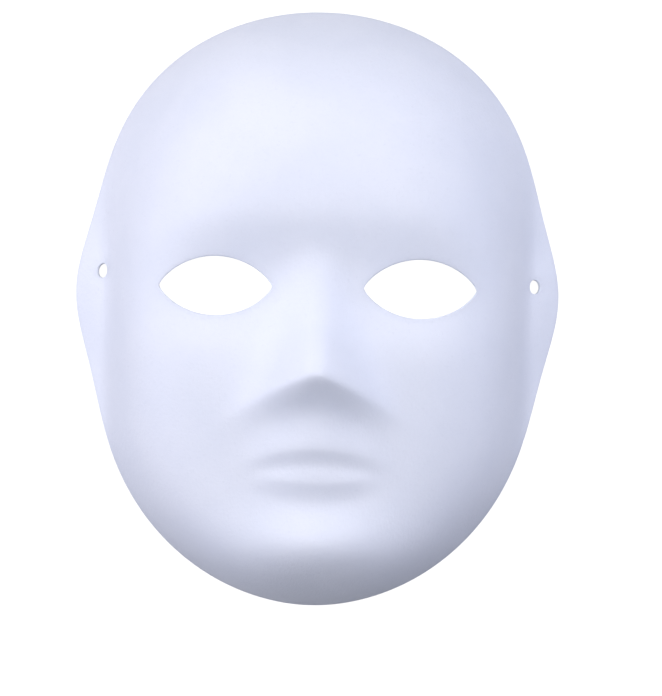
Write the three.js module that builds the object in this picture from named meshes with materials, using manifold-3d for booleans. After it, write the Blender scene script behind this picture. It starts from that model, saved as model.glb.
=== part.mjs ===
// A blank white full face mask, moulded as one thin shell, lying on its rim with its face up.
// Millimetres. +X is the viewer's right, +Y points to the crown of the head, +Z out of the face.
// The origin is under the middle of the mask, on the surface that it lies on.

import * as THREE from 'three';
import { mergeVertices } from 'three/addons/utils/BufferGeometryUtils.js';
import Module from 'manifold-3d';

const { smoothstep, clamp, lerp } = THREE.MathUtils;

// Driving dimensions. Heights are above the rim, and a face's own depths are from the dome around it.

const WALL = 1.5;
const SMALLEST = 1e-3;

const OUTLINE = {
  halfLength: 120.5,
  halfWidth: 90.8,
  crown: { fullness: 3.0, roundness: 1.98 },
  chin: { fullness: 2.5, roundness: 1.92 },
  tab: { reach: 7.4, y: 6, spread: 28 },
};

const RIM = {
  templeLift: 2,
  temple: { from: 20, to: 110 },
  jawLift: 2,
  jaw: { from: -112, to: -8 },
  fade: 12,
  levelling: 24,
};

const DOME = {
  crownHeight: 65,
  chinHeight: 51,
  heightSpread: 45,
  crownPower: 4.0,
  chinPower: 9.5,
  wallHalfWidth: 87.5,
  wallTaper: 0.04,
  wallBlend: 2.8,
  sidePower: 2.6,
  cheekPower: { extra: 2.9, y: -8, spreadAbove: 50, spreadBelow: 74 },
  reachLimit: 1.6,
};

const FLANGE = { height: 17, slope: 0.82, blend: 4, from: -61, to: 75, spread: 14, sunk: 12 };

const BROW = {
  y: 24.5,
  half: 10.5,
  soft: 2.5,
  depth: 5.7,
  side: 67,
  sideSpread: 13,
  arch: 3.5,
  archAt: 70,
};
const UNDER_EYE = { y: -8.5, spread: 10 };
const SOCKET = { x: 34.5, y: 9, spreadX: 19.5, spreadY: 13.5, depth: 1.5 };
const CHEEK = { x: 48, y: -38, spreadX: 30, spreadY: 30, height: 1.6 };

// The nose is a ridge with a narrow flat crest and straight sides. Its underside lies between two arches.
const NOSE = {
  top: 21,
  tip: -26.5,
  base: -39.1,
  height: 19,
  bow: 0.19,
  crest: { bridge: 5.4, tip: 3.0 },
  crestSoft: { bridge: 1.7, tip: 0.9 },
  foot: { bridge: 13.3, tip: 28.3, flare: 1.54 },
  footSoft: 3.4,
  wing: { at: 24, round: 2.8 },
  tipArch: { rise: 11.7, power: 1.28 },
  baseArch: { rise: 7.6, power: 1.15 },
  topSoft: 2.45,
  tipSoft: 1.1,
  edgeSoft: 1.1,
  baseSoft: 2.2,
};

const MUZZLE = { y: -41, spreadX: 22.8, spreadY: 25.3, height: 10.7 };

const LIPS = {
  half: 24.6,
  upper: {
    y: -57.75,
    half: 2.7,
    height: 2.5,
    lowSoft: 1.0,
    highSoft: 0.6,
    arc: 4.05,
    back: 7.0,
    backSpread: 5.4,
  },
  lower: {
    y: -71.9,
    half: 3.5,
    height: 2.7,
    lowSoft: 1.0,
    highSoft: 0.45,
    arc: -4.4,
    gap: 5.05,
    gapSpread: 4,
  },
};

const CHIN = { y: -95, spreadX: 29.5, spreadY: 14.6, height: 9 };

const EYE = { x: 39.75, y: 7.4, half: 22, lidHalf: 11.4, lidPower: 1.5, points: 40 };

// Each cord hole is punched by hand square through the sloping tab, beside the flat land that a cord
// bears on.
const CORD_HOLES = [
  { side: -1, x: 86.8, y: 13.6 },
  { side: 1, x: 87.7, y: 10.3 },
];
const CORD_HOLE = { radius: 2.8, sides: 20, length: 30 };
const LAND = { beyondHole: 3.5, halfX: 3.5, halfY: 5, fade: 2 };

// The surface's corners lie on rings around a pole, which crowd toward the rim. Inside the last free ring
// they give way to rows that follow the nose, the lips and the eye edges. A row's numbers are its
// distances from the curve that it follows, above it or, below zero, under it.
const GRID = { pole: -30, rays: 80, rings: 34, crowding: 1.2, halfRings: 7, freeRings: 21 };
const ROWS = {
  gap: 1.5,
  ringGap: 3,
  step: 3,
  noseTip: [1.1, -1.1],
  noseTipHalf: 30,
  noseLevels: [4.8, 9, 14.5, 20.5, 27, 34, 41, 48],
  crestBevel: 1.2,
  flankShares: [0.33, 0.66, 1],
  beyondFoot: 3.6,
  noseBase: [4.6, 1.2, -2.4],
  upperLip: [4.3, 1.8, -1.7, -4.1],
  lowerLip: [4.3, 2.6, 0.1, -2.5, -5.1],
  mouthHalf: 28,
  eyeEdges: [1.6, -1.4, 5],
};
const NUDGE = { size: 1e-3, pace: 97 };
const FAR = 1e4;

// Smooth building blocks.

const softPlus = (x, soft) => Math.max(x, 0) + soft * Math.log1p(Math.exp(-Math.abs(x) / soft));
const softMax = (a, b, soft) => b + softPlus(a - b, soft);
const softMin = (a, b, soft) => -softMax(-a, -b, soft);
const ease = (x, centre, spread) => 0.5 * (1 + Math.tanh((x - centre) / spread));
const bell = (x, centre, spread) => Math.exp(-(((x - centre) / spread) ** 2));

// Rises from 0 to 1 in a straight slope with rounded ends.
function ramp(x, start, end, startSoft, endSoft = startSoft) {
  return (softPlus(x - start, startSoft) - softPlus(x - end, endSoft)) / (end - start);
}

function mound(x, y, { x: cx = 0, y: cy, spreadX, spreadY }) {
  return bell(x, cx, spreadX) * bell(y, cy, spreadY);
}

// The outline seen from the front: an egg with a low tab at each side.

function eggHalfWidth(y) {
  const { fullness, roundness } = y >= 0 ? OUTLINE.crown : OUTLINE.chin;
  const share = clamp(Math.abs(y) / OUTLINE.halfLength, 0, 1);
  return OUTLINE.halfWidth * (1 - share ** fullness) ** (1 / roundness);
}

function outlineHalfWidth(y) {
  const { reach, y: tabY, spread } = OUTLINE.tab;
  return eggHalfWidth(y) + reach * bell(y, tabY, spread);
}

// How far the outline is from the grid's pole in a direction, found by halving.
function outlineReach(dirX, dirY) {
  let inside = 0;
  let outside = 2 * OUTLINE.halfLength;
  for (let step = 0; step < 40; step += 1) {
    const r = (inside + outside) / 2;
    const y = GRID.pole + r * dirY;
    const within = Math.abs(y) < OUTLINE.halfLength && Math.abs(r * dirX) < outlineHalfWidth(y);
    if (within) inside = r;
    else outside = r;
  }
  return inside;
}

// The rim rests at the crown, the chin and both tabs, and lifts a little at the temples and the jaw.
function rimHeight(y) {
  const arch = ({ from, to }) => Math.sin(Math.PI * clamp((y - from) / (to - from), 0, 1)) ** 2;
  return RIM.templeLift * arch(RIM.temple) + RIM.jawLift * arch(RIM.jaw);
}

// The parts of the face, each a height over the rim plane or over the dome.

function domeHeight(x, y) {
  const wall = DOME.wallHalfWidth + DOME.wallTaper * y;
  const half = Math.max(softMin(eggHalfWidth(y), wall, DOME.wallBlend), SMALLEST);
  const height = lerp(DOME.chinHeight, DOME.crownHeight, ease(y, 0, DOME.heightSpread));
  const { extra, y: cheekY, spreadAbove, spreadBelow } = DOME.cheekPower;
  const sidePower = DOME.sidePower + extra * bell(y, cheekY, y > cheekY ? spreadAbove : spreadBelow);
  const along = (Math.abs(y) / OUTLINE.halfLength) ** (y >= 0 ? DOME.crownPower : DOME.chinPower);
  const across = Math.min(Math.abs(x) / half, DOME.reachLimit) ** sidePower;
  return height * (1 - along) * (1 - across);
}

function flangeHeight(x, y) {
  const { height, slope, from, to, spread, sunk } = FLANGE;
  const inward = outlineHalfWidth(y) - Math.abs(x);
  const present = ease(y, from, spread) * (1 - ease(y, to, spread));
  return height * Math.tanh((slope * inward) / height) * present - sunk * (1 - present);
}

function browStep(x, y) {
  const side = Math.abs(x);
  const edge = BROW.y - BROW.arch * (side / BROW.archAt) ** 3;
  const below = ramp(edge - y, -BROW.half, BROW.half, BROW.soft);
  const aboveCheek = ease(y, UNDER_EYE.y, UNDER_EYE.spread);
  return -BROW.depth * below * aboveCheek * (1 - ease(side, BROW.side, BROW.sideSpread));
}

// Seen from the front, the nose's tip edge and its base are arches that fall toward the wings.
function noseArches(x) {
  const { wing, tipArch, baseArch } = NOSE;
  const outward = (Math.hypot(x, wing.round) - wing.round) / wing.at;
  return {
    tipY: NOSE.tip - tipArch.rise * outward ** tipArch.power,
    baseY: NOSE.base - baseArch.rise * outward ** baseArch.power,
  };
}

// How far the crest and the foot of the nose's sides are from the middle, from the bridge to the tip.
function noseHalves(along) {
  const { crest, foot } = NOSE;
  return {
    crestHalf: lerp(crest.bridge, crest.tip, along),
    footHalf: lerp(foot.bridge, foot.tip, along ** foot.flare),
  };
}

function noseHeight(x, y) {
  const { tipY, baseY } = noseArches(x);
  const length = NOSE.top - NOSE.tip;
  const fromTop = softPlus(length - (y - tipY), NOSE.topSoft) / length;
  const along = clamp(softMin(fromTop, 1, NOSE.tipSoft / length), 0, 1);
  const ridge = along * (1 + NOSE.bow) - NOSE.bow * along ** 2;
  const underside = ramp(y, baseY, Math.max(tipY, baseY + 2), NOSE.baseSoft, NOSE.edgeSoft);
  const { crestHalf, footHalf } = noseHalves(along);
  const softness = lerp(NOSE.crestSoft.bridge, NOSE.crestSoft.tip, along);
  const across = 1 - ramp(Math.abs(x), crestHalf, footHalf, softness, NOSE.footSoft);
  return NOSE.height * ridge * underside * across;
}

function lipRise(v, { y, half, height, lowSoft, highSoft }) {
  return height * ramp(v, y - half, y + half, lowSoft, highSoft);
}

function lipHeight(x, y) {
  const { upper, lower, half } = LIPS;
  const u = x / half;
  const vUpper = y + upper.arc * u ** 2;
  const vLower = y + lower.arc * u ** 2;
  const upperBack = 1 - ease(vUpper, upper.y + upper.back, upper.backSpread);
  const lowerBack = 1 - ease(vUpper, upper.y - lower.gap, lower.gapSpread);
  const mouth = Math.exp(-(u ** 4));
  return mouth * (lipRise(vUpper, upper) * upperBack + lipRise(vLower, lower) * lowerBack);
}

function faceHeight(x, y) {
  const side = Math.abs(x);
  const shell = softMax(domeHeight(x, y), flangeHeight(x, y), FLANGE.blend);
  const eyes = browStep(x, y) - SOCKET.depth * mound(side, y, SOCKET);
  const cheeks = CHEEK.height * mound(side, y, CHEEK);
  const mouth = MUZZLE.height * mound(x, y, MUZZLE) + lipHeight(x, y);
  return shell + eyes + cheeks + noseHeight(x, y) + mouth + CHIN.height * mound(x, y, CHIN);
}

// The face is eased up or down toward the outline, so that its edge follows the rim.
function rimmedHeight(x, y) {
  const r = Math.hypot(x, y - GRID.pole);
  if (r < 1) return faceHeight(x, y);
  const dirX = x / r;
  const dirY = (y - GRID.pole) / r;
  const reach = outlineReach(dirX, dirY);
  const edgeX = reach * dirX;
  const edgeY = GRID.pole + reach * dirY;
  const gap = rimHeight(edgeY) - faceHeight(edgeX, edgeY);
  return faceHeight(x, y) + gap * (r / reach) ** RIM.fade;
}

// How steeply a height changes at a point.
function slopes(heightAt, x, y) {
  const step = 0.05;
  return {
    alongX: (heightAt(x + step, y) - heightAt(x - step, y)) / (2 * step),
    alongY: (heightAt(x, y + step) - heightAt(x, y - step)) / (2 * step),
  };
}

// The land beside each cord hole is a flat spot that carries on the tab's own slope.

const lands = CORD_HOLES.map(({ side, x, y }) => {
  const landX = side * (x + LAND.beyondHole);
  const { alongX, alongY } = slopes(rimmedHeight, landX, y);
  return { x: landX, y, height: rimmedHeight(landX, y), alongX, alongY };
});

function outerHeight(x, y) {
  let height = rimmedHeight(x, y);
  for (const land of lands) {
    const away = Math.hypot((x - land.x) / LAND.halfX, (y - land.y) / LAND.halfY);
    const share = 1 - smoothstep(away, 1, LAND.fade);
    const plane = land.height + land.alongX * (x - land.x) + land.alongY * (y - land.y);
    height = lerp(height, plane, share);
  }
  return height;
}

function outerNormal(x, y) {
  const { alongX, alongY } = slopes(outerHeight, x, y);
  return new THREE.Vector3(-alongX, -alongY, 1).normalize();
}

// The inner surface lies one wall thickness inside. At the rim the wall is measured level, so that the
// cut edge of the shell is flat underneath.
function innerPoint(x, y) {
  const r = Math.max(Math.hypot(x, y - GRID.pole), SMALLEST);
  const edgeShare = r / outlineReach(x / r, (y - GRID.pole) / r);
  const normal = outerNormal(x, y);
  const level = new THREE.Vector3(normal.x, normal.y, 0).normalize();
  const toward = normal.clone().lerp(level, edgeShare ** RIM.levelling);
  const depth = WALL / toward.dot(normal);
  return new THREE.Vector3(x, y, outerHeight(x, y)).addScaledVector(toward, -depth);
}

// The plan of the corners, seen from the front.

function ringPoints(ring) {
  const share = Math.sin((GRID.crowding * ring) / GRID.rings) / Math.sin(GRID.crowding);
  const count = ring <= GRID.halfRings ? GRID.rays / 2 : GRID.rays;
  const points = [];
  for (let ray = 0; ray < count; ray += 1) {
    const angle = (2 * Math.PI * ray) / count;
    const dirX = Math.cos(angle);
    const dirY = Math.sin(angle);
    const r = share * outlineReach(dirX, dirY);
    points.push({ x: r * dirX, y: GRID.pole + r * dirY });
  }
  return points;
}

// Rows beside a curve, at set distances from it, on the viewer's right.
function rowsAlong(curve, half, offsets) {
  const rows = [];
  for (let x = 0; x <= half; x += ROWS.step) {
    const slope = (curve(x + SMALLEST) - curve(x - SMALLEST)) / (2 * SMALLEST);
    const length = Math.hypot(slope, 1);
    for (const offset of offsets) {
      rows.push({ x: x - (offset * slope) / length, y: curve(x) + offset / length });
    }
  }
  return rows;
}

function noseRows() {
  const rows = rowsAlong((x) => noseArches(x).tipY, ROWS.noseTipHalf, ROWS.noseTip);
  for (const above of ROWS.noseLevels) {
    const along = clamp(1 - above / (NOSE.top - NOSE.tip), 0, 1);
    const { crestHalf, footHalf } = noseHalves(along);
    const flank = ROWS.flankShares.map((share) => lerp(crestHalf, footHalf, share));
    const crest = [0, crestHalf - ROWS.crestBevel, crestHalf + ROWS.crestBevel];
    for (const x of [...crest, ...flank, footHalf + ROWS.beyondFoot]) {
      rows.push({ x, y: noseArches(x).tipY + above });
    }
  }
  return [...rows, ...rowsAlong((x) => noseArches(x).baseY, ROWS.noseTipHalf, ROWS.noseBase)];
}

function lipRows({ y, arc }, offsets) {
  return rowsAlong((x) => y - arc * (x / LIPS.half) ** 2, ROWS.mouthHalf, offsets);
}

function eyeOutline(grow) {
  const points = [];
  for (let k = 0; k < EYE.points; k += 1) {
    const angle = (2 * Math.PI * k) / EYE.points;
    const lid = Math.sign(Math.sin(angle)) * Math.abs(Math.sin(angle)) ** EYE.lidPower;
    points.push({ x: (EYE.half + grow) * Math.cos(angle), y: (EYE.lidHalf + grow) * lid });
  }
  return points;
}

function eyeRows() {
  return ROWS.eyeEdges.flatMap((grow) =>
    eyeOutline(grow).map(({ x, y }) => ({ x: EYE.x + x, y: EYE.y + y })),
  );
}

// Where the rows take the place of the rings.
function inRows(x, y) {
  const { tipY, baseY } = noseArches(x);
  const along = clamp(1 - (y - tipY) / (NOSE.top - NOSE.tip), 0, 1);
  const noseTop = tipY + ROWS.noseLevels.at(-1);
  const onNose = y < noseTop && y > baseY && x < noseHalves(along).footHalf + ROWS.beyondFoot;
  const mouthTop = LIPS.upper.y + ROWS.upperLip[0];
  const mouthBottom = LIPS.lower.y + ROWS.lowerLip.at(-1);
  const onMouth = x < ROWS.mouthHalf && y < mouthTop && y > mouthBottom;
  const u = clamp(Math.abs(x - EYE.x) / EYE.half, 0, 1);
  const inEye = Math.abs(y - EYE.y) < EYE.lidHalf * (1 - u ** 2) ** (EYE.lidPower / 2);
  return onNose || onMouth || inEye;
}

// The free corners of the right-hand half. One that comes too near an earlier one is left out.
function freePoints() {
  const lips = [...lipRows(LIPS.upper, ROWS.upperLip), ...lipRows(LIPS.lower, ROWS.lowerLip)];
  const rows = [...noseRows(), ...eyeRows(), ...lips];
  const placed = [];
  const place = ({ x, y }, gap) => {
    const crowded = placed.some((other) => Math.hypot(other.x - x, other.y - y) < gap);
    if (!crowded) placed.push({ x: x < SMALLEST ? 0 : x, y });
  };
  for (const point of rows) place(point, ROWS.gap);
  for (let ring = GRID.freeRings; ring >= 1; ring -= 1) {
    for (const point of ringPoints(ring)) {
      if (point.x > -SMALLEST && !inRows(point.x, point.y)) place(point, ROWS.ringGap);
    }
  }
  return placed;
}

// A triangle of three corners, counter-clockwise, with the circle through them.
function circled(points, corners) {
  const [a, b, c] = corners.map((index) => points[index]);
  const abX = b.x - a.x;
  const abY = b.y - a.y;
  const acX = c.x - a.x;
  const acY = c.y - a.y;
  const area = 2 * (abX * acY - abY * acX);
  const ab2 = abX ** 2 + abY ** 2;
  const ac2 = acX ** 2 + acY ** 2;
  const x = (acY * ab2 - abY * ac2) / area;
  const y = (abX * ac2 - acX * ab2) / area;
  return { corners, x: a.x + x, y: a.y + y, radius: Math.hypot(x, y) };
}

// Joins corners into even triangles: each new corner replaces the triangles whose circles hold it. The
// corners are first nudged a little in y, so that no four lie on one circle.
function triangulate(points) {
  const nudged = points.map(({ x, y }, index) => {
    return { x, y: y + NUDGE.size * Math.sin(NUDGE.pace * index) };
  });
  const all = [...nudged, { x: -FAR, y: -FAR }, { x: FAR, y: -FAR }, { x: 0, y: FAR }];
  const count = points.length;
  let triangles = [circled(all, [count, count + 1, count + 2])];
  for (let index = 0; index < count; index += 1) {
    const { x, y } = all[index];
    const kept = [];
    const open = new Map();
    for (const triangle of triangles) {
      if (Math.hypot(x - triangle.x, y - triangle.y) >= triangle.radius) {
        kept.push(triangle);
        continue;
      }
      triangle.corners.forEach((from, k) => {
        const to = triangle.corners[(k + 1) % 3];
        if (!open.delete(`${to} ${from}`)) open.set(`${from} ${to}`, [from, to]);
      });
    }
    triangles = kept.concat([...open.values()].map((edge) => circled(all, [...edge, index])));
  }
  return triangles.map(({ corners }) => corners).filter((corners) => Math.max(...corners) < count);
}

// Splits a quad along the diagonal whose middle lies closer to the outer surface.
function splitQuad(plan, [a, b, c, d]) {
  const miss = (from, to) => {
    const x = (plan[from].x + plan[to].x) / 2;
    const y = (plan[from].y + plan[to].y) / 2;
    const height = (index) => outerHeight(plan[index].x, plan[index].y);
    return Math.abs(outerHeight(x, y) - (height(from) + height(to)) / 2);
  };
  if (miss(a, c) <= miss(b, d) + SMALLEST) return [[a, b, c], [a, c, d]];
  return [[a, b, d], [b, c, d]];
}

// The triangles inside the last free ring: those of the right-hand half and their mirror images. The
// ring's own corners come first in the plan.
function freeTriangles(plan, firstFree, freeCount) {
  const key = ({ x, y }) => `${Math.round(x / SMALLEST)} ${Math.round(y / SMALLEST)}`;
  const indexAt = new Map(plan.map((point, index) => [key(point), index]));
  const mirrored = (index) => indexAt.get(key({ x: -plan[index].x, y: plan[index].y }));
  const half = [];
  for (let index = 0; index < GRID.rays; index += 1) {
    if (plan[index].x > -SMALLEST) half.push(index);
  }
  for (let index = firstFree; index < firstFree + freeCount; index += 1) half.push(index);
  const corners = half.map((index) => {
    const { x, y } = plan[index];
    return { x: x < SMALLEST ? 0 : x, y };
  });
  const triangles = [];
  for (const triangle of triangulate(corners)) {
    const [a, b, c] = triangle.map((corner) => half[corner]);
    const outside = Math.max(a, b, c) < GRID.rays;
    if (!outside) triangles.push([a, b, c], [mirrored(c), mirrored(b), mirrored(a)]);
  }
  return triangles;
}

function ringTriangles(plan, firstFree) {
  const triangles = [];
  for (let first = 0; first < firstFree - GRID.rays; first += GRID.rays) {
    for (let ray = 0; ray < GRID.rays; ray += 1) {
      const a = first + ray;
      const b = first + ((ray + 1) % GRID.rays);
      triangles.push(...splitQuad(plan, [a, a + GRID.rays, b + GRID.rays, b]));
    }
  }
  return triangles;
}

// The whole plan: the outer rings' corners, then the free ones of both halves, and the triangles that
// join them, counter-clockwise seen from the front.
function surfacePlan() {
  const plan = [];
  for (let ring = GRID.freeRings + 1; ring <= GRID.rings; ring += 1) plan.push(...ringPoints(ring));
  const firstFree = plan.length;
  const free = freePoints();
  const others = free.filter(({ x }) => x > 0).map(({ x, y }) => ({ x: -x, y }));
  plan.push(...free, ...others);
  const triangles = [...freeTriangles(plan, firstFree, free.length), ...ringTriangles(plan, firstFree)];
  return { plan, triangles, rimStart: firstFree - GRID.rays };
}

function rimTriangles(first, count, offset) {
  const triangles = [];
  for (let k = 0; k < count; k += 1) {
    const outerA = first + k;
    const outerB = first + ((k + 1) % count);
    triangles.push([outerA, outerA + offset, outerB + offset], [outerA, outerB + offset, outerB]);
  }
  return triangles;
}

function shellGeometry() {
  const { plan, triangles: top, rimStart } = surfacePlan();
  const outer = plan.map(({ x, y }) => [x, y, outerHeight(x, y)]);
  const inner = plan.map(({ x, y }) => innerPoint(x, y).toArray());
  const under = top.map(([a, b, c]) => [a + plan.length, c + plan.length, b + plan.length]);
  const rim = rimTriangles(rimStart, GRID.rays, plan.length);
  const geometry = new THREE.BufferGeometry();
  const positions = [...outer, ...inner].flat();
  geometry.setAttribute('position', new THREE.Float32BufferAttribute(positions, 3));
  geometry.setIndex([...top, ...under, ...rim].flat());
  return geometry;
}

// The cutters: an eye-shaped prism straight through, and a punch square to the land.

function eyeCutter(side) {
  const outline = new THREE.Shape();
  outline.setFromPoints(eyeOutline(0).map(({ x, y }) => new THREE.Vector2(x, y)));
  const prism = new THREE.ExtrudeGeometry(outline, { depth: 2 * DOME.crownHeight, bevelEnabled: false });
  return prism.translate(side * EYE.x, EYE.y, 0);
}

function cordHoleCutter({ side, x, y }, index) {
  const { radius, sides, length } = CORD_HOLE;
  const punch = new THREE.CylinderGeometry(radius, radius, length, sides);
  const normal = new THREE.Vector3(-lands[index].alongX, -lands[index].alongY, 1).normalize();
  const turn = new THREE.Quaternion().setFromUnitVectors(new THREE.Vector3(0, 1, 0), normal);
  return punch.applyQuaternion(turn).translate(side * x, y, outerHeight(side * x, y));
}

const wasm = await Module();
wasm.setup();

function toSolid(geometry) {
  const bare = geometry.clone();
  bare.deleteAttribute('normal');
  bare.deleteAttribute('uv');
  const merged = mergeVertices(bare);
  return new wasm.Manifold(
    new wasm.Mesh({
      numProp: 3,
      vertProperties: Float32Array.from(merged.attributes.position.array),
      triVerts: Uint32Array.from(merged.index.array),
    }),
  );
}

function toGeometry(solid) {
  const { vertProperties, triVerts } = solid.getMesh();
  const geometry = new THREE.BufferGeometry();
  geometry.setAttribute('position', new THREE.BufferAttribute(vertProperties, 3));
  geometry.setIndex(new THREE.BufferAttribute(triVerts, 1));
  geometry.computeVertexNormals();
  return geometry;
}

function maskGeometry() {
  const cutters = [eyeCutter(-1), eyeCutter(1), ...CORD_HOLES.map(cordHoleCutter)];
  const cut = (solid, cutter) => solid.subtract(toSolid(cutter));
  return toGeometry(cutters.reduce(cut, toSolid(shellGeometry())));
}

const whitePulp = new THREE.MeshStandardMaterial({ color: 0xeff1fa, roughness: 0.85, metalness: 0 });

const shell = new THREE.Mesh(maskGeometry(), whitePulp);
shell.name = 'mask_shell';

const mask = new THREE.Group();
mask.add(shell);

export default mask;
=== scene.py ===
"""The looks of a blank white full face mask, moulded from paper pulp, lying on a pale studio floor."""

import math
from functools import partial
from types import SimpleNamespace

import bpy
import numpy as np
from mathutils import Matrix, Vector
from mathutils.geometry import delaunay_2d_cdt


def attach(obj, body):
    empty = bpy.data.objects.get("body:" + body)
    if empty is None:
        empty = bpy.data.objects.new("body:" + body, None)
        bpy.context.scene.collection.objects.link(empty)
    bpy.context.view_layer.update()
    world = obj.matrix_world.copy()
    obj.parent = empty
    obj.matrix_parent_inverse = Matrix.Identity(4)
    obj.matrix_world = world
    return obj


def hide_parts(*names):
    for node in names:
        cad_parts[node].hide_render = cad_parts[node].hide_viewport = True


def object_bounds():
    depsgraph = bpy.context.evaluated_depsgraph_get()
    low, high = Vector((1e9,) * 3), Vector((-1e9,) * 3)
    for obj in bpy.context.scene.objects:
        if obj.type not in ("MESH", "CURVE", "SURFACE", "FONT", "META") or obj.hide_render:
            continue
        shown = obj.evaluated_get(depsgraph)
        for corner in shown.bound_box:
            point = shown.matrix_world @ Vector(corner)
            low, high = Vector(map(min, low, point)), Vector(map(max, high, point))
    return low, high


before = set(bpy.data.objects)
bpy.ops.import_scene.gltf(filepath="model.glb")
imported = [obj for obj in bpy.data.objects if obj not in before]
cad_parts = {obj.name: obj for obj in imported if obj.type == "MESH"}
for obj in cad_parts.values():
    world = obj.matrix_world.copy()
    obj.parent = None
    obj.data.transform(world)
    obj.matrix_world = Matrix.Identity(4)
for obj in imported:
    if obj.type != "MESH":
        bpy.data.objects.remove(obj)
cad_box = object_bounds()

# The mask's shape in millimetres, from the same named values as its solid. Heights are above the surface
# that the rim lies on, and a feature's own height or depth is from the dome around it.

MM = 0.001
TINY = 1e-9
SMALLEST = 1e-3
WALL = 1.5

OUTLINE = SimpleNamespace(
    half_length=120.5,
    half_width=90.8,
    crown=SimpleNamespace(fullness=3.0, roundness=1.98),
    chin=SimpleNamespace(fullness=2.5, roundness=1.92),
    tab=SimpleNamespace(reach=7.4, y=6, spread=28),
)

RIM = SimpleNamespace(lift=2, temple=(20, 110), jaw=(-112, -8), fade=12, levelling=24)

DOME = SimpleNamespace(
    crown_height=65,
    chin_height=51,
    height_spread=45,
    crown_power=4.0,
    chin_power=9.5,
    wall_half_width=87.5,
    wall_taper=0.04,
    wall_blend=2.8,
    side_power=2.6,
    cheek_power=SimpleNamespace(extra=2.9, y=-8, spread_above=50, spread_below=74),
    reach_limit=1.6,
)

FLANGE = SimpleNamespace(height=17, slope=0.82, blend=4, start=-61, end=75, spread=14, sunk=12)

BROW = SimpleNamespace(y=24.5, half=10.5, soft=2.5, depth=5.7, side=67, side_spread=13, arch=3.5, arch_at=70)
UNDER_EYE = SimpleNamespace(y=-8.5, spread=10)

NOSE = SimpleNamespace(
    top=21,
    tip=-26.5,
    base=-39.1,
    height=19,
    bow=0.19,
    crest=SimpleNamespace(bridge=5.4, tip=3.0),
    crest_soft=SimpleNamespace(bridge=1.7, tip=0.9),
    foot=SimpleNamespace(bridge=13.3, tip=28.3, flare=1.54),
    foot_soft=3.4,
    wing=SimpleNamespace(at=24, round=2.8),
    tip_arch=SimpleNamespace(rise=11.7, power=1.28),
    base_arch=SimpleNamespace(rise=7.6, power=1.15),
    least_underside=2,
    top_soft=2.45,
    tip_soft=1.1,
    edge_soft=1.1,
    base_soft=2.2,
)

LIPS = SimpleNamespace(
    half=24.6,
    upper=SimpleNamespace(y=-57.75, half=2.7, height=2.5, low_soft=1.0, high_soft=0.6, arc=4.05),
    lower=SimpleNamespace(y=-71.9, half=3.5, height=2.7, low_soft=1.0, high_soft=0.45, arc=-4.4),
    back=SimpleNamespace(above_upper=7.0, spread=5.4),
    gap=SimpleNamespace(below_upper=5.05, spread=4),
)

SOCKET = SimpleNamespace(x=34.5, y=9, spread_x=19.5, spread_y=13.5, height=-1.5)
CHEEK = SimpleNamespace(x=48, y=-38, spread_x=30, spread_y=30, height=1.6)
MUZZLE = SimpleNamespace(x=0, y=-41, spread_x=22.8, spread_y=25.3, height=10.7)
CHIN = SimpleNamespace(x=0, y=-95, spread_x=29.5, spread_y=14.6, height=9)

EYE = SimpleNamespace(x=39.75, y=7.4, half=22, lid_half=11.4, lid_power=1.5)

# Each cord hole's side, and how far it is out from the middle and up from the origin.
CORD_HOLES = ((-1, 86.8, 13.6), (1, 87.7, 10.3))
CORD_HOLE_RADIUS = 2.8
LAND = SimpleNamespace(beyond_hole=3.5, half_x=3.5, half_y=5, fade=2)

# Distances and directions across the face are measured from a pole in its middle. A slope is measured over
# a short step to each side, and a normal a thousandth of the way in toward the pole.
POLE_Y = -30.0
POLE_CLEARANCE = 1e-6
HALVINGS = 40
SLOPE_STEP = 0.05
PULL_IN = 0.999


def soft_plus(x, soft):
    return np.maximum(x, 0) + soft * np.log1p(np.exp(-np.abs(x) / soft))


def soft_max(a, b, soft):
    return b + soft_plus(a - b, soft)


def soft_min(a, b, soft):
    return -soft_max(-a, -b, soft)


def ease(x, centre, spread):
    return 0.5 * (1 + np.tanh((x - centre) / spread))


def bell(x, centre, spread):
    return np.exp(-(((x - centre) / spread) ** 2))


def ramp(x, start, end, start_soft, end_soft=None):
    """Rises from 0 to 1 in a straight slope with rounded ends."""
    end_soft = start_soft if end_soft is None else end_soft
    return (soft_plus(x - start, start_soft) - soft_plus(x - end, end_soft)) / (end - start)


def lerp(a, b, t):
    return a + (b - a) * t


def mound(x, y, shape):
    return shape.height * bell(x, shape.x, shape.spread_x) * bell(y, shape.y, shape.spread_y)


def unit(v):
    return v / np.maximum(np.linalg.norm(v, axis=-1, keepdims=True), TINY)


# The outline seen from the front: an egg with a low tab at each side.


def egg_half_width(y):
    fullness = np.where(y >= 0, OUTLINE.crown.fullness, OUTLINE.chin.fullness)
    roundness = np.where(y >= 0, OUTLINE.crown.roundness, OUTLINE.chin.roundness)
    share = np.clip(np.abs(y) / OUTLINE.half_length, 0, 1)
    return OUTLINE.half_width * (1 - share**fullness) ** (1 / roundness)


def outline_half_width(y):
    return egg_half_width(y) + OUTLINE.tab.reach * bell(y, OUTLINE.tab.y, OUTLINE.tab.spread)


def outline_reach(dir_x, dir_y):
    """How far the outline is from the pole in each direction, found by halving."""
    inside = np.zeros_like(dir_x)
    outside = np.full_like(dir_x, 2 * OUTLINE.half_length)
    for _ in range(HALVINGS):
        r = (inside + outside) / 2
        y = POLE_Y + r * dir_y
        within = (np.abs(y) < OUTLINE.half_length) & (np.abs(r * dir_x) < outline_half_width(y))
        inside = np.where(within, r, inside)
        outside = np.where(within, outside, r)
    return inside


def from_pole(x, y):
    """How far each point is from the pole, in which direction, and how far the outline is that way."""
    r = np.maximum(np.hypot(x, y - POLE_Y), POLE_CLEARANCE)
    dir_x, dir_y = x / r, (y - POLE_Y) / r
    return r, dir_x, dir_y, outline_reach(dir_x, dir_y)


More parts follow.
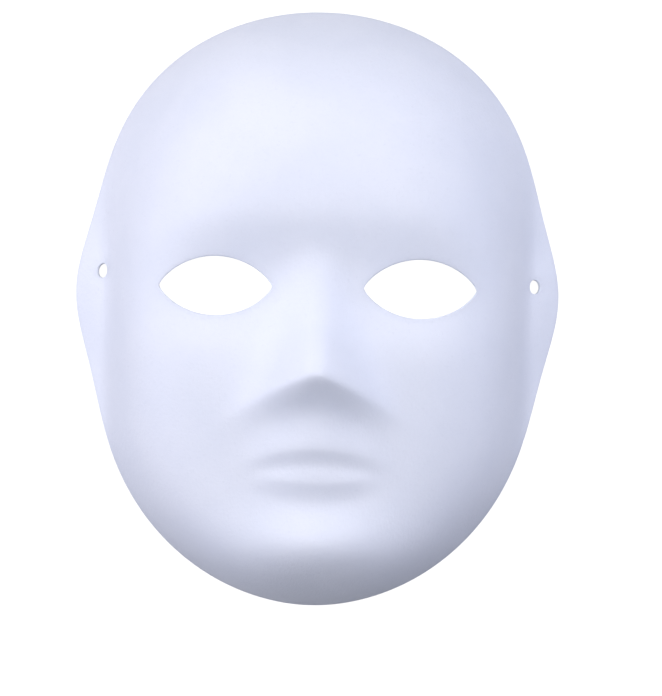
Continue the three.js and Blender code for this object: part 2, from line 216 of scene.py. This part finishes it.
def outline_ring(count, share=1.0, turn=0.0):
    """Points on the outline, or at a share of its distance from the pole, turned by a share of a step."""
    angle = 2 * np.pi * (np.arange(count) + turn) / count
    reach = outline_reach(np.cos(angle), np.sin(angle)) * share
    return np.stack([reach * np.cos(angle), POLE_Y + reach * np.sin(angle)], 1)


def rim_height(y):
    """The rim rests at the crown, the chin and both tabs, and lifts at the temples and the jaw."""
    lift = 0
    for start, end in (RIM.temple, RIM.jaw):
        lift = lift + RIM.lift * np.sin(np.pi * np.clip((y - start) / (end - start), 0, 1)) ** 2
    return lift


# The parts of the face.


def dome_height(x, y):
    wall = DOME.wall_half_width + DOME.wall_taper * y
    half = np.maximum(soft_min(egg_half_width(y), wall, DOME.wall_blend), SMALLEST)
    height = lerp(DOME.chin_height, DOME.crown_height, ease(y, 0, DOME.height_spread))
    cheek = DOME.cheek_power
    cheek_spread = np.where(y > cheek.y, cheek.spread_above, cheek.spread_below)
    side_power = DOME.side_power + cheek.extra * bell(y, cheek.y, cheek_spread)
    along = (np.abs(y) / OUTLINE.half_length) ** np.where(y >= 0, DOME.crown_power, DOME.chin_power)
    across = np.minimum(np.abs(x) / half, DOME.reach_limit) ** side_power
    return height * (1 - along) * (1 - across)


def flange_height(x, y):
    inward = outline_half_width(y) - np.abs(x)
    present = ease(y, FLANGE.start, FLANGE.spread) * (1 - ease(y, FLANGE.end, FLANGE.spread))
    rise = FLANGE.height * np.tanh(FLANGE.slope * inward / FLANGE.height)
    return rise * present - FLANGE.sunk * (1 - present)


def brow_step(x, y):
    side = np.abs(x)
    edge = BROW.y - BROW.arch * (side / BROW.arch_at) ** 3
    below = ramp(edge - y, -BROW.half, BROW.half, BROW.soft)
    above_cheek = ease(y, UNDER_EYE.y, UNDER_EYE.spread)
    return -BROW.depth * below * above_cheek * (1 - ease(side, BROW.side, BROW.side_spread))


def nose_height(x, y):
    """A ridge with a narrow flat crest and straight sides, whose underside lies between two arches."""
    outward = (np.hypot(x, NOSE.wing.round) - NOSE.wing.round) / NOSE.wing.at
    tip_y = NOSE.tip - NOSE.tip_arch.rise * outward**NOSE.tip_arch.power
    base_y = NOSE.base - NOSE.base_arch.rise * outward**NOSE.base_arch.power
    length = NOSE.top - NOSE.tip
    from_top = soft_plus(length - (y - tip_y), NOSE.top_soft) / length
    along = np.clip(soft_min(from_top, 1, NOSE.tip_soft / length), 0, 1)
    ridge = along * (1 + NOSE.bow) - NOSE.bow * along**2
    edge_y = np.maximum(tip_y, base_y + NOSE.least_underside)
    underside = ramp(y, base_y, edge_y, NOSE.base_soft, NOSE.edge_soft)
    crest_half = lerp(NOSE.crest.bridge, NOSE.crest.tip, along)
    crest_soft = lerp(NOSE.crest_soft.bridge, NOSE.crest_soft.tip, along)
    foot_half = lerp(NOSE.foot.bridge, NOSE.foot.tip, along**NOSE.foot.flare)
    across = 1 - ramp(np.abs(x), crest_half, foot_half, crest_soft, NOSE.foot_soft)
    return NOSE.height * ridge * underside * across


def lip_rise(v, lip):
    return lip.height * ramp(v, lip.y - lip.half, lip.y + lip.half, lip.low_soft, lip.high_soft)


def lip_height(x, y):
    u = x / LIPS.half
    v_upper = y + LIPS.upper.arc * u**2
    v_lower = y + LIPS.lower.arc * u**2
    upper_back = 1 - ease(v_upper, LIPS.upper.y + LIPS.back.above_upper, LIPS.back.spread)
    lower_back = 1 - ease(v_upper, LIPS.upper.y - LIPS.gap.below_upper, LIPS.gap.spread)
    upper = lip_rise(v_upper, LIPS.upper) * upper_back
    lower = lip_rise(v_lower, LIPS.lower) * lower_back
    return np.exp(-(u**4)) * (upper + lower)


def face_height(x, y):
    side = np.abs(x)
    height = soft_max(dome_height(x, y), flange_height(x, y), FLANGE.blend)
    height = height + brow_step(x, y) + mound(side, y, SOCKET) + mound(side, y, CHEEK)
    return height + nose_height(x, y) + mound(x, y, MUZZLE) + lip_height(x, y) + mound(x, y, CHIN)


def rimmed_height(x, y):
    """The face, eased up or down toward the outline, so that its edge follows the rim."""
    r, dir_x, dir_y, reach = from_pole(x, y)
    edge_y = POLE_Y + reach * dir_y
    gap = rim_height(edge_y) - face_height(reach * dir_x, edge_y)
    return face_height(x, y) + gap * (r / reach) ** RIM.fade


def slopes(height_at, x, y):
    """How steeply a height changes along each axis."""
    along_x = (height_at(x + SLOPE_STEP, y) - height_at(x - SLOPE_STEP, y)) / (2 * SLOPE_STEP)
    along_y = (height_at(x, y + SLOPE_STEP) - height_at(x, y - SLOPE_STEP)) / (2 * SLOPE_STEP)
    return along_x, along_y


def cord_hole(side, x, y):
    """A hole punched square to the flat land beside it, which carries on the tab's own slope."""
    land_x = side * (x + LAND.beyond_hole)
    along_x, along_y = slopes(rimmed_height, land_x, y)
    return SimpleNamespace(
        x=side * x,
        y=y,
        axis=unit(np.array([-along_x, -along_y, 1.0])),
        land_x=land_x,
        land_height=rimmed_height(land_x, y),
        along_x=along_x,
        along_y=along_y,
    )


cord_holes = [cord_hole(*hole) for hole in CORD_HOLES]


def outer_height(x, y):
    """The outer surface, with the flat land beside each cord hole."""
    height = rimmed_height(x, y)
    for hole in cord_holes:
        away = np.hypot((x - hole.land_x) / LAND.half_x, (y - hole.y) / LAND.half_y)
        fade = np.clip((away - 1) / (LAND.fade - 1), 0, 1)
        share = 1 - fade * fade * (3 - 2 * fade)
        plane = hole.land_height + hole.along_x * (x - hole.land_x) + hole.along_y * (y - hole.y)
        height = lerp(height, plane, share)
    return height


def outer_normal(x, y):
    """The way square out of the surface, taken a little way in, so that it holds at the outline too."""
    along_x, along_y = slopes(outer_height, x * PULL_IN, POLE_Y + (y - POLE_Y) * PULL_IN)
    return unit(np.stack([-along_x, -along_y, np.ones_like(x)], 1))


def on_outer(points):
    return np.column_stack([points, outer_height(points[:, 0], points[:, 1])])


# The plan of the fine mesh, seen from the front: loops along the rim and the four openings, rows that
# follow the openings, rings around the pole, and finer points where the lips and the nose turn sharply.
# The outermost ring counts as outer_length long, and has a point every spacing.

RIM_EDGE = SimpleNamespace(points=520, clearance=0.12)
EYE_EDGE = SimpleNamespace(points=132, rows=(0.6, 1.3, 2.2), clearance=0.6)
CORD_EDGE = SimpleNamespace(points=44, rows=(0.45, 1.0, 1.7), clearance=0.5)
RINGS = SimpleNamespace(count=112, crowding=1.33, spacing=1.32, outer_length=640, fewest_points=6)

# Each fine area's half width, and its lowest and highest y: round the mouth, and under the nose's tip.
FINE_AREAS = ((32, -80, -48), (25, -45, -17))
FINE_SPACING = 0.9
FINE_MARGIN = 0.4

# The cut edges: how far their rounding reaches from each surface, in how many steps, and how far from a cut
# the wall turns to run along it.
OUTER_ROUND = 0.55
INNER_ROUND = 0.45
ARC_STEPS = 5
CUT_REACH = 2.5

# How often a loop is evened, how a punched circle is let down on the surface, how near a loop a distance
# counts, and how near two points may lie.
EVENING_PASSES = 4
LANDING_STEPS = 8
LANDING_SHARE = 0.8
SEARCH_MARGIN = 8
FAR = 99.0
MERGE_GAP = 1e-6


def evened(loop):
    """The same closed loop, with its points evenly spaced."""
    count = len(loop)
    steps = np.linalg.norm(np.roll(loop, -1, 0) - loop, axis=1)
    length = np.concatenate([[0], np.cumsum(steps)])
    wanted = length[-1] * np.arange(count) / count
    closed = np.vstack([loop, loop[:1]])
    return np.stack([np.interp(wanted, length, closed[:, k]) for k in (0, 1)], 1)


def eye_loop(side, grow=0.0):
    """A pointed oval with two alike lids, widened by grow all round."""
    angle = 2 * np.pi * np.arange(EYE_EDGE.points) / EYE_EDGE.points
    lid = EYE.lid_half * np.sign(np.sin(angle)) * np.abs(np.sin(angle)) ** EYE.lid_power
    loop = np.stack([EYE.half * np.cos(angle), lid], 1)
    for _ in range(EVENING_PASSES):
        loop = evened(loop)
    along = np.roll(loop, -1, 0) - np.roll(loop, 1, 0)
    outward = unit(np.stack([along[:, 1], -along[:, 0]], 1))
    return loop + grow * outward + [side * EYE.x, EYE.y]


def cord_loop(hole, grow=0.0):
    """Where a round punch, square to the land, meets the outer surface."""
    across = unit(np.cross([0.0, 1.0, 0.0], hole.axis))
    upward = np.cross(hole.axis, across)
    middle = on_outer(np.array([[hole.x, hole.y]]))
    angle = 2 * np.pi * np.arange(CORD_EDGE.points)[:, None] / CORD_EDGE.points
    circle = middle + (CORD_HOLE_RADIUS + grow) * (np.cos(angle) * across + np.sin(angle) * upward)
    for _ in range(LANDING_STEPS):
        over = circle[:, 2] - outer_height(circle[:, 0], circle[:, 1])
        circle = circle - LANDING_SHARE * over[:, None] * hole.axis
    return circle[:, :2]


def opening(loop_at, kind, axis):
    """An opening's sharp corner, the loop where its rounded edge starts, and the rows beyond that."""
    return SimpleNamespace(
        corner=loop_at(),
        edge=loop_at(grow=OUTER_ROUND),
        rows=[loop_at(grow=OUTER_ROUND + gap) for gap in kind.rows],
        clearance=kind.clearance,
        axis=axis,
    )


def inside_loop(points, loop):
    """Which points lie inside a closed loop, by counting crossings."""
    x, y = points[:, 0][:, None], points[:, 1][:, None]
    x0, y0 = loop[:, 0][None], loop[:, 1][None]
    x1, y1 = np.roll(x0, -1, 1), np.roll(y0, -1, 1)
    crosses = (y0 > y) != (y1 > y)
    at = x0 + (y - y0) * (x1 - x0) / np.where(y1 == y0, 1, y1 - y0)
    return (crosses & (x < at)).sum(1) % 2 == 1


def away_from(points, loop):
    """Distance to the nearest point of a loop, for the points near it."""
    low, high = loop.min(0) - SEARCH_MARGIN, loop.max(0) + SEARCH_MARGIN
    near = np.where(((points > low) & (points < high)).all(1))[0]
    away = np.full(len(points), FAR)
    gap = points[near][:, None] - loop[None]
    away[near] = np.sqrt((gap**2).sum(2)).min(1)
    return away


def ring_field():
    """Rings of points around the pole, which crowd toward the rim."""
    rings = [np.array([[0.0, POLE_Y]])]
    for ring in range(1, RINGS.count):
        share = math.sin(RINGS.crowding * ring / RINGS.count) / math.sin(RINGS.crowding)
        count = max(RINGS.fewest_points, round(RINGS.outer_length * share / RINGS.spacing))
        rings.append(outline_ring(count, share, turn=0.5 * (ring % 2)))
    return np.vstack(rings)


def without_area(points, half, low, high):
    x, y = points.T
    in_width = np.abs(x) < half + FINE_MARGIN
    in_height = (y > low - FINE_MARGIN) & (y < high + FINE_MARGIN)
    return points[~(in_width & in_height)]


def fine_lattice(half, low, high):
    """Points at the corners of even triangles."""
    rows = []
    for row, y in enumerate(np.arange(low, high, FINE_SPACING * math.sqrt(3) / 2)):
        x = np.arange(-half, half, FINE_SPACING) + FINE_SPACING / 2 * (row % 2)
        rows.append(np.stack([x, np.full_like(x, y)], 1))
    return np.vstack(rows)


def on_shell(points):
    """The points with the shell around them, clear of the rows along its edges."""
    keep = inside_loop(points, rim_edge) & (away_from(points, rim_edge) > RIM_EDGE.clearance)
    for hole in openings:
        last_row = hole.rows[-1]
        keep &= ~inside_loop(points, last_row) & (away_from(points, last_row) > hole.clearance)
    return points[keep]


def plan_triangles():
    """The triangles of the shell between the plan's points, all facing up."""
    loop_edges = [
        (int(start + k), int(start + (k + 1) % len(loop)))
        for start, loop in zip(starts, loops)
        for k in range(len(loop))
    ]
    found = delaunay_2d_cdt([tuple(point) for point in plan.tolist()], loop_edges, [], 0, MERGE_GAP)
    origins = [ids[0] if ids else None for ids in found[3]]
    assert origins == list(range(len(plan))), "the plan lost or moved a point"
    made = np.array(found[2])
    middles = plan[made].mean(1)
    solid = inside_loop(middles, rim_edge)
    for hole in openings:
        solid &= ~inside_loop(middles, hole.edge)
    made = made[solid]
    a, b, c = (plan[made[:, k]] for k in range(3))
    turned = (b[:, 0] - a[:, 0]) * (c[:, 1] - a[:, 1]) - (b[:, 1] - a[:, 1]) * (c[:, 0] - a[:, 0]) < 0
    made[turned] = made[turned][:, ::-1]
    return made


rim_corner = outline_ring(RIM_EDGE.points)
rim_run = OUTER_ROUND * np.clip(outer_normal(*rim_corner.T)[:, 2:], 0, 1)
rim_edge = rim_corner - rim_run * unit(rim_corner - [0, POLE_Y])

openings = [opening(partial(eye_loop, side), EYE_EDGE, np.array([0.0, 0.0, 1.0])) for side in (-1, 1)]
openings += [opening(partial(cord_loop, hole), CORD_EDGE, hole.axis) for hole in cord_holes]

field = ring_field()
for area in FINE_AREAS:
    field = without_area(field, *area)
field = on_shell(np.vstack([field, *(fine_lattice(*area) for area in FINE_AREAS)]))

loops = [rim_edge, *(hole.edge for hole in openings)]
starts = np.cumsum([0] + [len(loop) for loop in loops])
plan = np.vstack([*loops, *(row for hole in openings for row in hole.rows), field])
triangles = plan_triangles()

# The shell: the outer surface over the plan, the inner one under it, and rounded edges between them.


def through_direction(points):
    """The way from the inner surface to the outer one: square to the wall, but along the cut at each edge."""
    normal = outer_normal(points[:, 0], points[:, 1])
    r, _, _, reach = from_pole(points[:, 0], points[:, 1])
    edge_share = np.clip(r / reach, 0, 1)[:, None]
    level = unit(normal * [1, 1, 0])
    toward = lerp(normal, level, edge_share**RIM.levelling)
    for hole in openings:
        share = bell(away_from(points, hole.corner), 0, CUT_REACH)[:, None]
        toward = lerp(toward, hole.axis, share)
    return toward / (toward * normal).sum(1, keepdims=True)


def on_inner(points):
    return on_outer(points) - WALL * through_direction(points)


def rounded(corner, leg, toward, radius):
    """Rows that leave a surface along a leg and turn round its corner, down the cut wall."""
    made = []
    for step in range(1, ARC_STEPS + 1):
        turn = 0.5 * math.pi * step / ARC_STEPS
        made.append(corner + (1 - math.sin(turn)) * leg + (1 - math.cos(turn)) * radius * toward)
    return made


def edge_rows(corner_plan, first_outer, first_inner):
    """The rounded cut edge, from the outer surface's loop round the wall to the inner surface's loop."""
    outer_corner, inner_corner = on_outer(corner_plan), on_inner(corner_plan)
    inward = unit(inner_corner - outer_corner)
    from_outer = rounded(outer_corner, first_outer - outer_corner, inward, OUTER_ROUND)
    from_inner = rounded(inner_corner, first_inner - inner_corner, -inward, INNER_ROUND)
    return from_outer + from_inner[::-1]


def strip_between(upper, lower):
    """Two triangles for each step along two closed rows of points."""
    next_upper, next_lower = np.roll(upper, -1), np.roll(lower, -1)
    first = np.stack([upper, lower, next_lower], 1)
    second = np.stack([upper, next_lower, next_upper], 1)
    return np.concatenate([first, second])


def make_mesh(name, points, polygons):
    mesh = bpy.data.meshes.new(name)
    mesh.vertices.add(len(points))
    mesh.vertices.foreach_set("co", (points * MM).astype(np.float32).ravel())
    mesh.loops.add(polygons.size)
    mesh.loops.foreach_set("vertex_index", polygons.astype(np.int32).ravel())
    mesh.polygons.add(len(polygons))
    mesh.polygons.foreach_set("loop_start", (np.arange(len(polygons)) * 3).astype(np.int32))
    mesh.polygons.foreach_set("use_smooth", np.ones(len(polygons), bool))
    mesh.update(calc_edges=True)
    mesh.validate()
    return mesh


outer, inner = on_outer(plan), on_inner(plan)
vertices = [outer, inner]
faces = [triangles, triangles[:, ::-1] + len(plan)]
total = 2 * len(plan)
for start, corner in zip(starts, [rim_corner, *(hole.corner for hole in openings)]):
    size = len(corner)
    ids = start + np.arange(size)
    made = edge_rows(corner, outer[ids], inner[ids])
    chain = [ids, *(total + size * k + np.arange(size) for k in range(len(made))), ids + len(plan)]
    for upper, lower in zip(chain[:-1], chain[1:]):
        strip = strip_between(upper, lower)
        faces.append(strip if corner is rim_corner else strip[:, ::-1])
    vertices += made
    total += size * len(made)

# The faceted solid cuts its curves a hair short, so the fine surface is held inside its box.
vertices = np.clip(np.vstack(vertices), *(np.array(corner) / MM for corner in cad_box))
faces = np.vstack(faces)

# The wear and painted shade along the cuts, darker where the edge turns from the light: how far it reaches,
# and how much sooner it ends along the rim.
EDGE_WEAR_AND_SHADE_ATTRIBUTE = "cut_edge"
EDGE_WEAR_AND_SHADE_REACH = 1.6
RIM_EDGE_WEAR_AND_SHADE_PACE = 2.0


def cut_nearness(points):
    """1 at a cut edge, and fading to 0 away from it."""
    r, _, _, reach = from_pole(points[:, 0], points[:, 1])
    gap = RIM_EDGE_WEAR_AND_SHADE_PACE * (reach - r)
    for hole in openings:
        gap = np.minimum(gap, away_from(points, hole.corner))
    return bell(np.maximum(gap, 0), 0, EDGE_WEAR_AND_SHADE_REACH)


# The rounded cut edges themselves take the full edge wear and painted shade.
nearness = np.ones(len(vertices), np.float32)
nearness[: 2 * len(plan)] = np.tile(cut_nearness(plan), 2)

# The outer surface and the cut edges take the first material, and the inner surface takes the second.
material_index = np.zeros(len(faces), np.int32)
material_index[len(triangles) : 2 * len(triangles)] = 1

mask_mesh = make_mesh("white_mask", vertices, faces)
mask_mesh.polygons.foreach_set("material_index", material_index)
mask_mesh.attributes.new(EDGE_WEAR_AND_SHADE_ATTRIBUTE, "FLOAT", "POINT").data.foreach_set("value", nearness)
mask = bpy.data.objects.new("white_mask", mask_mesh)
bpy.context.scene.collection.objects.link(mask)
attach(mask, "root")
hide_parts("mask_shell")

# The pulp. Noise scales are in features to the metre.

CLOUDS = {"Scale": 22, "Detail": 4, "Roughness": 0.55}
SPECKLE = {"Scale": 800, "Detail": 4, "Roughness": 0.6}
FIBRES = {"Scale": 1000, "Detail": 4, "Roughness": 0.6}
FIBRE_STRETCH = (1, 0.25, 0.6)
FLECK_STRENGTH = 0.55
LEAST_EDGE_WEAR_AND_SHADE = 0.35
WEAR_DULLNESS = 0.08
ROUGHNESS_SWING = 0.05
SURFACE = {"Specular IOR Level": 0.35, "Sheen Weight": 0.06, "Sheen Roughness": 0.5}
BUMP = {"Distance": 0.0005, "Strength": 0.7}

# Which of a mix node's sockets are its colours.
FIRST_COLOUR, SECOND_COLOUR, BLENDED_COLOUR = 6, 7, 2


def rgb(red, green, blue):
    return (red, green, blue, 1.0)


class Material:
    """A material around one shader, with short ways to add the nodes that feed it."""

    def __init__(self, name):
        self.data = bpy.data.materials.new(name)
        self.data.use_nodes = True
        self.tree = self.data.node_tree
        self.tree.nodes.clear()
        self.shader = self.node("ShaderNodeBsdfPrincipled")
        self.node("ShaderNodeOutputMaterial", {0: self.shader.outputs[0]})

    def feed(self, node, inputs):
        """Gives each input of a node its value, or a link from another node's output."""
        for key, value in inputs.items():
            if isinstance(value, bpy.types.NodeSocket):
                self.tree.links.new(value, node.inputs[key])
            else:
                node.inputs[key].default_value = value

    def node(self, kind, inputs=None):
        made = self.tree.nodes.new(kind)
        self.feed(made, inputs or {})
        return made

    def noise(self, place, look):
        return self.node("ShaderNodeTexNoise", {"Vector": place, **look}).outputs["Fac"]

    def spread(self, source, start, end, low=0.0, high=1.0):
        """Stretches the values from start to end over the range from low to high."""
        inputs = {"Value": source, "From Min": start, "From Max": end, "To Min": low, "To Max": high}
        return self.node("ShaderNodeMapRange", inputs).outputs[0]

    def blend(self, share, first, second):
        """A colour between two, by a share from 0 to 1."""
        made = self.node("ShaderNodeMix")
        made.data_type = "RGBA"
        self.feed(made, {"Factor": share, FIRST_COLOUR: first, SECOND_COLOUR: second})
        return made.outputs[BLENDED_COLOUR]

    def combine(self, operation, first, second):
        made = self.node("ShaderNodeMath", {0: first, 1: second})
        made.operation = operation
        return made.outputs[0]


def pulp_material(name, smooth, tones, edge_tone, grain, fibre, roughness):
    """Pressed paper pulp: soft mottled tone, fine grain, short fibres, and a duller cut edge, darkened by
    wear and by painted shade.
    """
    pulp = Material(name)
    place = pulp.node("ShaderNodeTexCoord").outputs["Object"]
    stretched = pulp.node("ShaderNodeMapping", {"Vector": place, "Scale": FIBRE_STRETCH}).outputs[0]
    clouds = pulp.noise(place, CLOUDS)
    speckle = pulp.noise(place, SPECKLE)
    fibres = pulp.noise(stretched, FIBRES)
    # The darkening along the cut edges is partly wear and partly painted shade, broken into patches by the
    # speckle.
    cut = pulp.node("ShaderNodeAttribute")
    cut.attribute_name = EDGE_WEAR_AND_SHADE_ATTRIBUTE
    patches = pulp.spread(speckle, start=0.3, end=0.7, low=LEAST_EDGE_WEAR_AND_SHADE)
    wear_and_painted_shade = pulp.combine("MULTIPLY", cut.outputs["Fac"], patches)

    tone = pulp.blend(pulp.spread(clouds, start=0.35, end=0.65), *tones)
    tone = pulp.blend(pulp.spread(speckle, start=0.58, end=0.76, high=FLECK_STRENGTH), tone, edge_tone)
    # Darker along the cut edges: partly wear, partly painted shade where the rounded edge turns from the
    # light.
    tone = pulp.blend(wear_and_painted_shade, tone, edge_tone)

    smoothest, roughest = roughness - ROUGHNESS_SWING, roughness + ROUGHNESS_SWING
    rough = pulp.spread(clouds, start=0.3, end=0.7, low=smoothest, high=roughest)
    rough = pulp.combine("ADD", rough, pulp.combine("MULTIPLY", wear_and_painted_shade, WEAR_DULLNESS))

    height = pulp.combine("MULTIPLY", speckle, grain)
    height = pulp.combine("ADD", height, pulp.combine("MULTIPLY", fibres, fibre))
    height = pulp.combine("ADD", height, pulp.combine("MULTIPLY", clouds, smooth))
    bump = pulp.node("ShaderNodeBump", {"Height": height, **BUMP}).outputs[0]

    pulp.feed(pulp.shader, {"Base Color": tone, "Roughness": rough, "Normal": bump, **SURFACE})
    return pulp.data


outer_pulp = pulp_material(
    "white_pulp_face",
    smooth=1.2,
    tones=(rgb(0.800, 0.842, 0.954), rgb(0.845, 0.881, 0.982)),
    edge_tone=rgb(0.760, 0.800, 0.905),
    grain=0.40,
    fibre=0.30,
    roughness=0.62,
)
inner_pulp = pulp_material(
    "white_pulp_back",
    smooth=2.0,
    tones=(rgb(0.765, 0.800, 0.890), rgb(0.815, 0.848, 0.935)),
    edge_tone=rgb(0.740, 0.775, 0.870),
    grain=0.6,
    fibre=0.7,
    roughness=0.86,
)
mask_mesh.materials.append(outer_pulp)
mask_mesh.materials.append(inner_pulp)

# The studio, in metres: a pale floor that glows a little, as a lit table does, and a ring of soft lights.

FLOOR_HALF = 3.0
FLOOR_DROP = 0.00005

floor_sides = ((-1, -1), (1, -1), (1, 1), (-1, 1))
floor_corners = [(x * FLOOR_HALF, y * FLOOR_HALF, -FLOOR_DROP) for x, y in floor_sides]
floor_mesh = bpy.data.meshes.new("studio_floor")
floor_mesh.from_pydata(floor_corners, [], [(0, 1, 2, 3)])
floor = bpy.data.objects.new("studio_floor", floor_mesh)
bpy.context.scene.collection.objects.link(floor)
floor.visible_diffuse = False
pale_floor = Material("pale_floor")
pale_floor.feed(
    pale_floor.shader,
    {
        "Base Color": rgb(0.17, 0.17, 0.18),
        "Roughness": 0.9,
        "Emission Color": rgb(1, 1, 1),
        "Emission Strength": 0.95,
    },
)
floor_mesh.materials.append(pale_floor.data)

# Each soft light's name, the angle around the mask and the height that it comes from, in degrees, its
# size, its power and its colour.
LIGHTS = (
    ("top", 0, 88, 0.6, 18.8, (1.00, 0.985, 1.005)),
    ("left", 180, 18, 1.1, 13.2, (0.97, 0.97, 1.13)),
    ("crown_left", 135, 18, 1.1, 10.2, (1.00, 0.985, 1.02)),
    ("crown_right", 45, 18, 1.1, 12.9, (0.97, 0.98, 1.09)),
    ("right", 0, 18, 1.1, 3.2, (0.86, 0.96, 1.50)),
    ("chin", 270, 18, 1.1, 1.9, (0.84, 0.98, 1.50)),
)
LIGHT_DISTANCE = 1.8
AIM_HEIGHT = 0.03


def add_light(name, shape, size, power):
    light = bpy.data.lights.new(name, "AREA")
    light.shape = shape
    light.size = size
    light.energy = power
    lamp = bpy.data.objects.new(name, light)
    bpy.context.scene.collection.objects.link(lamp)
    return light, lamp


for name, around, height, size, power, colour in LIGHTS:
    around, height = math.radians(around), math.radians(height)
    level = math.cos(height)
    toward = Vector((math.cos(around) * level, math.sin(around) * level, math.sin(height)))
    light, lamp = add_light(name, "SQUARE", size, power)
    light.color = colour
    lamp.location = toward * LIGHT_DISTANCE
    lamp.rotation_euler = (lamp.location - Vector((0, 0, AIM_HEIGHT))).to_track_quat("Z", "Y").to_euler()

# What the table would throw back up inside the shell: a weak oval light that the camera doesn't see.
BOUNCE = SimpleNamespace(width=0.11, length=0.15, power=0.05, height=0.002)
bounce, bounce_lamp = add_light("table_bounce", "ELLIPSE", BOUNCE.width, BOUNCE.power)
bounce.size_y = BOUNCE.length
bounce_lamp.location = (0, 0, BOUNCE.height)
bounce_lamp.rotation_euler = (math.pi, 0, 0)
bounce_lamp.visible_camera = False

# A plain white surround, which lights nothing by itself.
world = bpy.data.worlds.new("studio")
world.use_nodes = True
bpy.context.scene.world = world
background = world.node_tree.nodes["Background"]
background.inputs["Color"].default_value = rgb(1, 1, 1)
background.inputs["Strength"].default_value = 1.0
world.cycles_visibility.diffuse = False
bpy.context.scene.view_settings.view_transform = "Standard"

# The camera looks straight down on the lying mask, but for a slight lean and roll.

CAMERA = SimpleNamespace(x=-0.0026, y=-0.0160, z=1.060, lean_x=0.0085, roll=1.1, lens=135.0, sensor=36.0)
CLIP = SimpleNamespace(near=0.05, far=20.0)

camera_data = bpy.data.cameras.new("camera")
camera_data.lens = CAMERA.lens
camera_data.sensor_width = CAMERA.sensor
camera_data.clip_start = CLIP.near
camera_data.clip_end = CLIP.far
camera = bpy.data.objects.new("camera", camera_data)
camera.location = (CAMERA.x, CAMERA.y, CAMERA.z)
camera.rotation_euler = (0, -math.atan2(CAMERA.lean_x, CAMERA.z), math.radians(CAMERA.roll))
bpy.context.scene.collection.objects.link(camera)
bpy.context.scene.camera = camera
